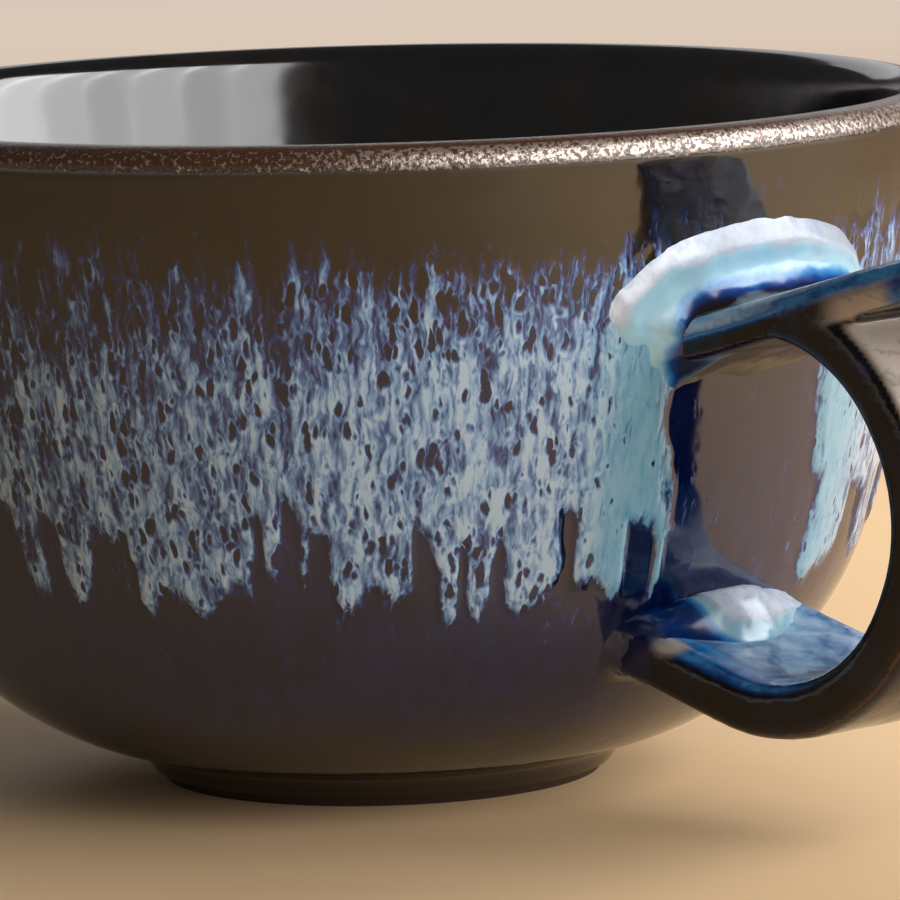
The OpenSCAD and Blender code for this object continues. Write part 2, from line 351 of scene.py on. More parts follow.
def blend(first, second, share):
    """A value that goes from first to second as share goes from 0 to 1."""
    return first + (second - first) * share


def smooth(low, high, value):
    """0 below low, 1 above high, and an easy rise between."""
    t = np.clip((value - low) / (high - low), 0, 1)
    return t * t * (3 - 2 * t)


class Tree:
    """A node tree, with short calls to add and link nodes."""

    def __init__(self, owner):
        owner.use_nodes = True
        self.tree = owner.node_tree

    def add(self, kind, **sockets):
        """Add a shader node of that kind and set or link its inputs by name."""
        return self.fill(self.tree.nodes.new("ShaderNode" + kind), **sockets)

    def fill(self, node, **sockets):
        """Set or link a node's inputs by name."""
        for key, value in sockets.items():
            self.put(node.inputs[key.replace("_", " ")], value)
        return node

    def put(self, socket, value):
        """Link a socket to another node's output, or set its value."""
        if isinstance(value, NodeSocket):
            self.tree.links.new(value, socket)
        elif hasattr(value, "__len__") and socket.type == "RGBA":
            socket.default_value = (*value[:3], 1)
        else:
            socket.default_value = value

    def step(self, kind, what, values):
        """A node that does one step of arithmetic; gives its outputs."""
        node = self.add(kind)
        node.operation = what
        for socket, value in zip(node.inputs, values):
            self.put(socket, value)
        return node.outputs

    def math(self, what, *values):
        """One step of arithmetic."""
        return self.step("Math", what, values)["Value"]

    def times(self, first, *others):
        """The product of several numbers."""
        for other in others:
            first = self.math("MULTIPLY", first, other)
        return first

    def vector(self, what, *values):
        """One step of vector arithmetic, which gives a number or a vector."""
        number = what in ("LENGTH", "DOT_PRODUCT")
        return self.step("VectorMath", what, values)["Value" if number else "Vector"]

    def split(self, vector):
        """A vector's three parts, by name."""
        return self.add("SeparateXYZ", Vector=vector).outputs

    def looks(self):
        """1 for rays straight from the camera, and 1 for rays by way of a shiny or clear face."""
        path = self.add("LightPath").outputs
        return path["Is Camera Ray"], self.math("MAXIMUM", path["Is Glossy Ray"], path["Is Transmission Ray"])

    def range(self, value, low, high, to_low=0.0, to_high=1.0, kind="SMOOTHSTEP"):
        """A value brought from one range to another, with an easy rise unless told otherwise."""
        node = self.add("MapRange", Value=value, From_Min=low, From_Max=high, To_Min=to_low, To_Max=to_high)
        node.interpolation_type = kind
        return node.outputs["Result"]

    def ramp(self, value, tints, *stops):
        """Colours along a value: pairs of a place and a colour's name."""
        node = self.add("ValToRGB", Fac=value)
        ramp = node.color_ramp
        while len(ramp.elements) < len(stops):
            ramp.elements.new(0.5)
        for element, (place, name) in zip(ramp.elements, stops):
            element.position = place
            element.color = (*getattr(tints, name), 1)
        return node.outputs["Color"]

    def mix(self, share, first, second, kind="MIX"):
        """A blend of two colours."""
        node = self.add("Mix")
        node.data_type = "RGBA"
        node.blend_type = kind
        self.put(node.inputs["Factor"], share)
        self.put(node.inputs[6], first)
        self.put(node.inputs[7], second)
        return node.outputs[2]


class Nodes(Tree):
    """A material's node tree, with the patterns that the glazes use."""

    def __init__(self, name):
        self.material = bpy.data.materials.new(name)
        super().__init__(self.material)
        self.shader = self.tree.nodes["Principled BSDF"]
        self.place = self.add("TexCoord").outputs["Object"]
        self.height = self.split(self.place)["Z"]

    def drawn(self, vector, stretch):
        """Coordinates with the height drawn in, so that a pattern on them is drawn out along it."""
        return self.add("Mapping", Vector=vector, Scale=(1, 1, 1 / stretch)).outputs[0]

    def warped(self, scale, reach, stretch):
        """The piece's own coordinates, stirred by noise up to a reach in metres, with the height drawn in."""
        stir = self.add("TexNoise", Vector=self.place, Scale=scale).outputs["Color"]
        return self.drawn(self.vector("MULTIPLY_ADD", stir, (2 * reach,) * 3, self.place), stretch)

    def noise(self, scale, detail=2.0, stretch=1.0, roughness=0.5, vector=None):
        """Noise on the piece's own coordinates; stretch draws it out along the height."""
        if vector is None:
            vector = self.place if stretch == 1.0 else self.drawn(self.place, stretch)
        node = self.add("TexNoise", Vector=vector, Scale=scale, Detail=detail, Roughness=roughness)
        return node.outputs["Fac"]

    def drops(self, scale, vector):
        """Distance from the nearest of many drops, pinched at their tops, and a number for each drop."""
        cells = self.add("TexVoronoi", Vector=vector, Scale=scale).outputs
        off = self.vector("SUBTRACT", vector, cells["Position"])
        rise = self.times(self.split(off)["Z"], scale)
        side = self.vector("LENGTH", self.vector("MULTIPLY", off, (scale, scale, 0)))
        pinch = self.math("MAXIMUM", self.math("MULTIPLY_ADD", rise, 0.9, 1.0), 0.6)
        shape = self.add("CombineXYZ", X=self.times(side, pinch), Y=rise)
        chance = self.add("SeparateColor", Color=cells["Color"]).outputs["Red"]
        return self.vector("LENGTH", shape.outputs[0]), chance

    def field(self, name):
        """A number that the mesh keeps at its points."""
        node = self.add("Attribute")
        node.attribute_name = name
        return node.outputs["Fac"]

    def bump(self, height, distance, strength=1.0, **after):
        """A bump of that depth in metres, on top of another if a Normal is given."""
        node = self.add("Bump", Height=height, Distance=distance, Strength=strength, **after)
        return node.outputs["Normal"]

    def finish(self, **sockets):
        """Set or link the shader's own inputs and give back the material."""
        self.fill(self.shader, **sockets)
        return self.material


def base_colour(nodes, tints):
    """The dark base glaze: olive on the upper wall, navy in the middle, plum low down, broken at the rim."""
    z = nodes.height
    height = nodes.math("ADD", z, nodes.math("MULTIPLY_ADD", nodes.noise(130, 3), 0.008, -0.004))
    share = nodes.math("DIVIDE", height, GLAZE_SPAN)
    stops = (0.12, "olive"), (0.2, "plum"), (0.36, "navy"), (0.7, "navy"), (0.82, "olive")
    body = nodes.ramp(share, tints, *stops)
    patches = nodes.range(nodes.noise(75, 4, 1.6), 0.42, 0.62, 0.0, 0.9)
    patches = nodes.times(patches, nodes.range(height, 0.05, 0.034), nodes.range(height, 0.005, 0.012))
    body = nodes.mix(patches, body, tints.plum)
    mottle = nodes.range(nodes.noise(700, 3, 3.0), 0.3, 0.7, 0.7, 1.3)
    body = nodes.mix(1.0, body, mottle, "MULTIPLY")
    across = nodes.split(nodes.place)
    ahead = nodes.math("MAXIMUM", across["X"], 0.001)
    aside = nodes.math("DIVIDE", nodes.math("ABSOLUTE", across["Y"]), ahead)
    behind = nodes.range(aside, 0.12, 0.3, 1.0, 0.0)
    behind = nodes.times(behind, nodes.range(z, 0.048, 0.042), nodes.range(z, 0.011, 0.014))
    body = nodes.mix(behind, body, tints.deep)
    grain = nodes.noise(2400, 4, roughness=0.65)
    rim = nodes.range(nodes.math("MULTIPLY_ADD", grain, 0.0014, z), 0.0605, 0.0611)
    # Painted glints: the pale grit is spread more thickly on the side towards the handle and the window.
    grit_denser_toward_light = nodes.math("ADD", grain, nodes.range(across["X"], 0.03, 0.044, -0.09, 0.03))
    grit = nodes.times(nodes.range(grit_denser_toward_light, 0.46, 0.58), nodes.range(z, 0.0617, 0.0613))
    crust = nodes.mix(grit, tints.umber, tints.grit)
    return nodes.mix(rim, body, crust), rim, grain, nodes.times(rim, grit, 0.8)


def glaze_relief(nodes, rim, grain):
    """Slow swell of the glaze, with a gritty rim."""
    swell = nodes.bump(nodes.noise(220, 2), 0.00008)
    return nodes.bump(nodes.times(rim, grain), 0.0001, 0.8, Normal=swell)


def shine(nodes, smooth_end, rough_end):
    """A glaze's roughness, which wanders a little between two ends."""
    return nodes.range(nodes.noise(300, 3), 0.3, 0.7, smooth_end, rough_end)


def outer_glaze_material(tints):
    """The base glaze, rougher and with pale glints on the rim."""
    nodes = Nodes("outer glaze")
    tint, rim, grain, glint = base_colour(nodes, tints)
    rough = nodes.math("MULTIPLY_ADD", rim, 0.15, shine(nodes, 0.05, 0.1))
    relief = glaze_relief(nodes, rim, grain)
    return nodes.finish(Base_Color=tint, Metallic=glint, Roughness=rough, IOR=GLAZE_IOR, Normal=relief)


def drip_coat_material(tints):
    """The coat's cover comes from the mesh; strands and drops where it has parted are drawn in here."""
    nodes = Nodes("drip coat")
    dark, rim, grain, _ = base_colour(nodes, tints)
    calm = nodes.field("calm")
    coat = nodes.field("coat")
    streaks = STRAND_LEVEL
    for scale, stir, reach, stretch, weight in STRANDS:
        strand = nodes.noise(scale, vector=nodes.warped(stir, reach, stretch))
        streaks = nodes.math("MULTIPLY_ADD", strand, weight, streaks)
    streaks = nodes.times(streaks, nodes.range(calm, 0.0, 1.0, 1.0, 0.7))
    far, chance = nodes.drops(1150, nodes.warped(500, 0.0006, 3.2))
    size = nodes.math("MULTIPLY_ADD", chance, 0.36, nodes.field("drops"))
    gap = nodes.math("SUBTRACT", far, size)
    parted = nodes.range(gap, -0.2, 0.1, -0.95, 0.0)
    beside = nodes.math("ABSOLUTE", nodes.math("SUBTRACT", gap, 0.15))
    lip = nodes.times(nodes.range(beside, 0.0, 0.14, 0.2, 0.0), nodes.range(coat, -0.05, 0.2))
    thick = nodes.math("ADD", nodes.math("ADD", coat, streaks), nodes.math("ADD", parted, lip))
    stops = (0.1, "thin_coat"), (0.36, "mid_coat"), (0.66, "thick_coat"), (0.95, "crest_coat")
    tone = nodes.ramp(thick, tints, *stops)
    run = nodes.times(calm, nodes.range(thick, 0.1, 0.6, 0.0, 0.7))
    tone = nodes.mix(run, tone, tints.run_coat)
    tint = nodes.mix(nodes.range(thick, -0.3, 0.24), dark, tone)
    swell = glaze_relief(nodes, rim, grain)
    relief = nodes.bump(nodes.range(thick, -0.1, 0.9), 0.0001, 0.6, Normal=swell)
    return nodes.finish(Base_Color=tint, Roughness=shine(nodes, 0.06, 0.11), IOR=GLAZE_IOR, Normal=relief)


def inner_glaze_material(tints):
    """Nearly black, with faint olive patches."""
    nodes = Nodes("inner glaze")
    patches = nodes.range(nodes.noise(90, 3), 0.4, 0.7)
    tint = nodes.mix(patches, tints.inside, tints.olive)
    swell = nodes.bump(nodes.noise(120, 2), 0.00003)
    return nodes.finish(Base_Color=tint, Roughness=shine(nodes, 0.1, 0.15), IOR=INSIDE_IOR, Normal=swell)


def handle_material(tints):
    """Brown-black, broken to brown on its edges, with pale blue that has run out from the joints, painted
    paler on the shaded lower limb, and pale beige, partly a painted reflection.
    """
    nodes = Nodes("handle glaze")
    worn = nodes.math("SUBTRACT", nodes.field("edge"), 1.3)
    worn = nodes.math("MULTIPLY_ADD", nodes.noise(900, 4), 1.6, worn)
    mottle = nodes.range(nodes.noise(260, 4), 0.45, 0.75, 0.0, 0.5)
    body = nodes.mix(mottle, tints.handle, tints.plum)
    body = nodes.mix(nodes.range(worn, 0.05, 0.4), body, tints.umber)
    streak = nodes.noise(420, 3, vector=nodes.warped(200, 0.002, 0.4))
    blue_wash_and_painted_light = nodes.times(nodes.field("blue_wash_and_painted_light"), nodes.math("MULTIPLY_ADD", streak, 1.2, 0.4))
    blues = (0.06, "deep"), (0.24, "azure"), (0.4, "sky")
    coats = (0.56, "mid_coat"), (0.78, "thick_coat"), (1.0, "crest_coat")
    tone = nodes.ramp(blue_wash_and_painted_light, tints, *blues, *coats)
    tint = nodes.mix(nodes.range(blue_wash_and_painted_light, 0.04, 0.16), body, tone)
    pale = nodes.times(nodes.field("pale_bead_and_painted_reflection"), nodes.range(streak, 0.34, 0.46, 0.72, 1.0))
    tint = nodes.mix(pale, tint, tints.pale_bead_and_painted_reflection)
    tint = nodes.mix(nodes.field("wall"), tint, tints.plum)
    swell = nodes.bump(nodes.noise(350, 3), 0.00012)
    return nodes.finish(Base_Color=tint, Roughness=shine(nodes, 0.07, 0.14), IOR=HANDLE_IOR, Normal=swell)


def pool_material(tints):
    """Thick glaze from white at the pool's edge through cyan and blue to the limb's dark, with painted light
    where the handle shades it.
    """
    nodes = Nodes("pooled glaze")
    stir = nodes.math("MULTIPLY_ADD", nodes.noise(300, 4), 0.22, -0.11)
    along = nodes.math("ADD", nodes.field("flow"), stir)
    pales = (0.16, "pool"), (0.24, "cyan"), (0.38, "cyan")
    darks = (0.46, "sky"), (0.54, "azure"), (0.62, "deep"), (0.7, "handle")
    tint = nodes.ramp(along, tints, *pales, *darks)
    # Painted light: the upper pool's near end and the lower pool, which lie in the handle's shade, are
    # whitened.
    shade = nodes.range(nodes.split(nodes.place)["Y"], -0.006, -0.012)
    shade = nodes.math("MAXIMUM", shade, nodes.range(nodes.height, 0.032, 0.028))
    tint = nodes.mix(nodes.times(shade, nodes.range(along, 0.24, 0.12)), tint, tints.snow_and_painted_light)
    snow_and_painted_light = nodes.range(nodes.noise(1100, 4), 0.35, 0.6, 0.4, 0.0)
    tint = nodes.mix(nodes.times(snow_and_painted_light, nodes.range(along, 0.22, 0.08)), tint, tints.thick_coat)
    tint = nodes.mix(nodes.field("wall"), tint, tints.plum)
    crust = nodes.bump(nodes.times(nodes.noise(1300, 4), nodes.range(along, 0.45, 0.2)), 0.0001, 0.5)
    rough = nodes.range(along, 0.1, 0.3, 0.3, 0.2)
    return nodes.finish(Base_Color=tint, Roughness=rough, IOR=GLAZE_IOR, Normal=crust)


def clay_material(tints):
    """Dark fired clay with brown specks."""
    nodes = Nodes("bare stoneware")
    speckle = nodes.range(nodes.noise(1400, 4), 0.55, 0.7)
    tint = nodes.mix(speckle, tints.clay, tints.umber)
    grit = nodes.bump(nodes.noise(2500, 4), 0.0001)
    return nodes.finish(Base_Color=tint, Roughness=0.85, Normal=grit)


def dressed(piece, material, slot, *nodes):
    """Give a finished piece its material, hang it under the root and hide the solids it stands for."""
    piece.data.materials.clear()
    piece.data.materials.append(material)
    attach(piece, "root")
    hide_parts(*nodes)


class CUP_OT_clay(Operator):
    """Give the packed clay cup and handle their bare stoneware."""

    bl_idname = "cup.clay"
    bl_label = "Clay"

    def execute(self, context):
        material = clay_material(context.scene.cup_colours)
        for name in ("cup_body", "handle"):
            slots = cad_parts[name].data.materials
            slots.clear()
            slots.append(material)
        return {"FINISHED"}


class CUP_OT_outer_glaze(Operator):
    """Spin the dark base glaze from the foot to the rim's crest."""

    bl_idname = "cup.outer_glaze"
    bl_label = "Outer glaze"

    def execute(self, context):
        sizes = context.scene.cup_sizes
        form = CupForm(sizes)
        face = spaced(form.outside(sizes.glaze_t) + form.rim(0, 90, sizes.glaze_t), 0.6 * MM)
        back = spaced(form.outside(0) + form.rim(0, 90, 0), HIDDEN_GAP)
        piece = turned("outer_glaze", face + back[::-1], 288)
        strip_map(piece, 3, 0, sizes.cup_h)
        dressed(piece, outer_glaze_material(context.scene.cup_colours), "outer_glaze", "outer_glaze")
        return {"FINISHED"}


class CUP_OT_inner_glaze(Operator):
    """Spin the glaze inside the cup, up to the rim's crest."""

    bl_idname = "cup.inner_glaze"
    bl_label = "Inner glaze"

    def execute(self, context):
        sizes = context.scene.cup_sizes
        form = CupForm(sizes)

        def inside(grow, rim_grow):
            bowl = form.bowl(0, grow)
            return [(0.0, bowl[0][1])] + bowl + form.rim(180, 90, rim_grow)

        face = spaced(inside(-sizes.wall_t - sizes.glaze_t, sizes.glaze_t), 0.8 * MM)
        back = spaced(inside(-sizes.wall_t, 0), HIDDEN_GAP)
        piece = turned("inner_glaze", face + back[::-1], 256)
        strip_map(piece, 2, 0, sizes.cup_h)
        dressed(piece, inner_glaze_material(context.scene.cup_colours), "inner_glaze", "inner_glaze")
        return {"FINISHED"}


class CUP_OT_drip_coat(Operator):
    """Spin the second coat over the base glaze and let it run: tongues below and wisps above."""

    bl_idname = "cup.drip_coat"
    bl_label = "Drip coat"

    low: length("Low", "Height of the coat's lower edge", 15)
    high: length("High", "Height of the coat's upper edge", 59)
    film: length("Film", "Thickness where the coat has run off", 0.03)
    sink: length("Sink", "How far the coat's ends sink into the base glaze", 0.05)
    relief: length("Relief", "Thickness that the coat stands above that", 0.28)
    crown: length("Crown", "Height where the coat fades out above", 51.3)
    hem: length("Hem", "Height where the coat breaks into tongues", 25)

    def execute(self, context):
        sizes = context.scene.cup_sizes
        form = CupForm(sizes)

        def wall(grow, gap):
            heights = np.linspace(self.low, self.high, round((self.high - self.low) / gap))
            return [(float(form.wall(z, grow)), float(z)) for z in heights]

        face = wall(sizes.glaze_t + self.film, 0.45 * MM)
        face = [(r - self.sink * self.fade(z), z) for r, z in face]
        back = wall(sizes.glaze_t - 0.02 * MM, HIDDEN_GAP)
        piece = turned("drip_glaze", face + back[::-1], 720)
        x, y, z = points_of(piece).T
        skin = np.hypot(x, y) > form.wall(z, sizes.glaze_t + self.film / 3) - self.sink * self.fade(z)
        fields = np.zeros((3, len(x)))
        fields[0] = -1
        fields[:, skin] = self.cover(np.arctan2(y[skin], x[skin]), z[skin] / MM)
        group = piece.vertex_groups.new(name="relief")
        for i in np.nonzero(fields[0] > 0)[0].tolist():
            group.add([i], min(1.4 * fields[0, i], 1), "REPLACE")
        apply_modifier(piece, "Relief", "DISPLACE", strength=self.relief, mid_level=0, vertex_group="relief")
        keep_fields(piece, coat=fields[0], drops=fields[1], calm=fields[2])
        strip_map(piece, 3, self.low, self.high)
        dressed(piece, drip_coat_material(context.scene.cup_colours), "drip_glaze", "drip_glaze")
        return {"FINISHED"}

    def fade(self, z):
        """1 at the coat's upper and lower ends, where it sinks into the base glaze, and 0 a little inside."""
        return 1 - smooth(0, 4 * MM, np.minimum(z - self.low, self.high - z))

    def cover(self, angle, z):
        """The coat's thickness, below 0 where bare, its drops' width and its calm; z is in millimetres."""
        level = z * 0
        bent = angle + 0.02 * on_round(angle, z, 4, 9)
        slow = on_round(angle, level + 0.5, 9, 1)
        top = self.crown / MM + 3.0 * slow + 3.0 * on_round(bent, level + 0.4, 1.8, 1)
        upper = np.clip((top - z) / np.where(z < top, 11, 4), -2, 1)
        part = on_round(bent, level + 1.5, 2.4, 1) + 0.06
        tongue = 0.86 * smooth(-0.12, 0.03, part) + 0.14 * smooth(0, 0.4, part)
        notch = on_round(angle, level + 2.5, 3.5, 1)
        bottom = np.maximum(self.hem / MM + 3.2 + 2.6 * notch - 7.4 * tongue - 4.0 * slow, 17.5)
        lower = np.clip((z - bottom) / 1.2, -0.9, 1)
        side = np.degrees(np.abs(angle))
        down = smooth(38, 24, z)
        edge = np.where(angle < 0, 12.3 - 3.0 * down, 10.0 + 4.5 * down)
        clear = np.clip((side - edge + 1.6 * on_round(angle, z, 1.5, 3)) / 1.6, -0.9, 1)
        calm = smooth(24, 15, side) * smooth(49, 43, z)
        coat = 0.5 * np.minimum(np.minimum(upper, lower), clear) + 0.14 * calm
        # Thicker and so paler near the handle; the 0.06 taken off from 62° to 85° round from the handle and
        # beyond is painted shade on the side away from the window.
        coat = coat + (0.2 * smooth(72, 26, side) - 0.06 * smooth(62, 85, side)) * (coat > 0)
        ends = 0.12 * np.exp(-(((z - bottom - 1.8) / 1.4) ** 2)) * (lower > 0)
        drops = 0.08 + 0.04 * smooth(30, 24, z) + 0.07 * smooth(39, 48, z) - 0.22 * calm
        return coat + ends, drops, calm


class CUP_OT_handle(Operator):
    """Extrude the handle's side outline to the strap's width, round its edges and soften it."""

    bl_idname = "cup.handle"
    bl_label = "Handle"

    upper_root: length("Upper root", "Where the upper limb starts, along it from the ring's centre", -6.5)
    lower_root: length("Lower root", "Where the lower limb starts, along it from the ring's centre", -15)
    trim: length("Trim", "Taken off the thumb rest's uneven end, so that it stays inside the solid", 0.42)

    def execute(self, context):
        s = context.scene.cup_handle
        grow = context.scene.cup_sizes.glaze_t
        half = s.strap_w / 2 + grow
        corners = self.outline(s, grow)
        piece = one_point("handle_glaze", (corners[0].x, -half, corners[0].y))
        trace(corners)
        bpy.ops.mesh.edge_face_add()
        push((0, 2 * half, 0))
        pick("SELECT")
        bpy.ops.mesh.normals_make_consistent(inside=False)
        pick("DESELECT")
        mode("OBJECT")

        def at_tip(place):
            return min((place.xz - end).length for end in corners[1:3]) < 1e-5

        for edge in piece.data.edges:
            a, b = (piece.data.vertices[i].co for i in edge.vertices)
            edge.select = at_tip(a) and at_tip(b) and abs(a.y - b.y) < 1e-6
        context.tool_settings.mesh_select_mode = (False, True, False)
        mode("EDIT")
        bpy.ops.mesh.bevel(offset=half - 0.2 * MM, segments=14, affect="EDGES", clamp_overlap=True)
        bpy.ops.mesh.select_mode(type="VERT")
        mode("OBJECT")
        apply_modifier(
            piece, "Edges", "BEVEL", width=s.edge_r, segments=4, limit_method="ANGLE",
            angle_limit=math.radians(40), use_clamp_overlap=False,
        )
        apply_modifier(piece, "Even", "REMESH", mode="VOXEL", voxel_size=0.45 * MM)
        apply_modifier(piece, "Soften", "SMOOTH", factor=0.5, iterations=6)
        uneven(piece, "Pulled", 9 * MM, 0.2 * MM, 1)
        bpy.ops.object.shade_smooth()
        keep_fields(piece, **self.fields(piece, s))
        dressed(piece, handle_material(context.scene.cup_colours), "handle_glaze", "handle_glaze")
        return {"FINISHED"}

    def outline(self, s, grow):
        """Points round the handle seen from the side; the second and third are the thumb rest's end."""
        slope = s.limb_slope
        centre = Vector((s.ring_x, s.ring_z))
        inner = s.hole_r - grow
        outer = s.hole_r + s.strap_t + grow
        under = s.hole_r - s.limb_sink - grow
        over = under + s.limb_t + 2 * grow
        tip = outer - grow + s.thumb_reach + (under + over) / 2 * math.sin(slope)
        tip = tip / math.cos(slope) + grow - self.trim

        def limb(side, along, off):
            return centre + Matrix.Rotation(side * slope, 2) @ Vector((along, side * off))

        def arc(radius, start, end, count):
            turns = np.linspace(start, end, count)
            return [centre + radius * Vector((math.cos(a), math.sin(a))) for a in turns]

        crease = math.pi / 2 + slope - math.acos(under / outer)
        hidden = math.pi / 2 + slope - math.acos(under / inner)
        bottom = -math.pi / 2 - slope
        points = [limb(1, self.upper_root, over), limb(1, tip, over), limb(1, tip, under)]
        points += arc(outer, crease, bottom, 64)
        points += [limb(-1, self.lower_root, outer), limb(-1, self.lower_root, inner)]
        points += arc(inner, bottom, hidden, 56)
        return points + [limb(1, self.upper_root, under)]

    def fields(self, piece, s):
        """Where blue glaze has run out (paler on the lower limb as painted light), pale beige shows (partly a
        painted reflection), the wall's colour shows and the edges break.
        """
        x, y, z = points_of(piece).T / MM
        face_x, face_y, face_z = points_of(piece, "normal").T
        out = x - s.ring_x / MM
        above = z - s.ring_z / MM
        rise = above * math.cos(s.limb_slope) - out * math.sin(s.limb_slope)
        top = smooth(14.6, 15.4, rise) * (0.78 * smooth(17, 0, out) + 0.12)
        # Painted light: the lower limb's blue is raised paler than the glaze alone, as that limb sits in the
        # handle's shade.
        low = smooth(-8, -12, above) * smooth(10, 2, out) * (0.3 + 0.5 * smooth(-9, -5, y))
        near = smooth(15.2, 16.4, rise) * smooth(0.1, 0.4, -face_y) * (0.35 + 0.6 * smooth(6, -2, out))
        band = smooth(13.5, 14, rise) * smooth(16.4, 15.2, rise) * smooth(0.3, 0.6, -face_y)
        pale = smooth(7, 11, out) * smooth(16.5, 14.5, out)
        blue = smooth(14, 16, out) * smooth(24, 18, out)
        reach = np.hypot(out, above)
        outward = (face_x * out + face_z * above) / reach
        # Painted reflection: the ring's outer face, where it turns towards the window, takes the pale beige.
        outside = smooth(0.5, 0.9, outward) * smooth(2, 3.5, reach - s.hole_r / MM) * (out > 0)
        outside = outside * smooth(-12, 14, above) * smooth(14, 13.4, rise)
        spot = np.exp(-(((x - 47) / 1.9) ** 2) - ((z - 17.2) / 0.8) ** 2) * smooth(-8.2, -9.4, y)
        blue_wash_and_painted_light = smooth(0.15, 0.6, face_z) * np.maximum(top, low)
        blue_wash_and_painted_light = np.maximum(np.maximum(blue_wash_and_painted_light, 0.3 * band * blue), near)
        pale_bead_and_painted_reflection = np.maximum(np.maximum(0.9 * band * pale, 0.85 * outside), smooth(0.1, 0.7, spot))
        wall = smooth(-9, -10, y) * smooth(-9, -11, above) * smooth(-11.5, -14, out)
        across = np.abs(face_y)
        level = np.maximum(across, np.sqrt(np.maximum(1 - across**2, 0)))
        return {"blue_wash_and_painted_light": blue_wash_and_painted_light, "pale_bead_and_painted_reflection": pale_bead_and_painted_reflection, "wall": wall, "edge": smooth(0.1, 0.26, 1 - level)}


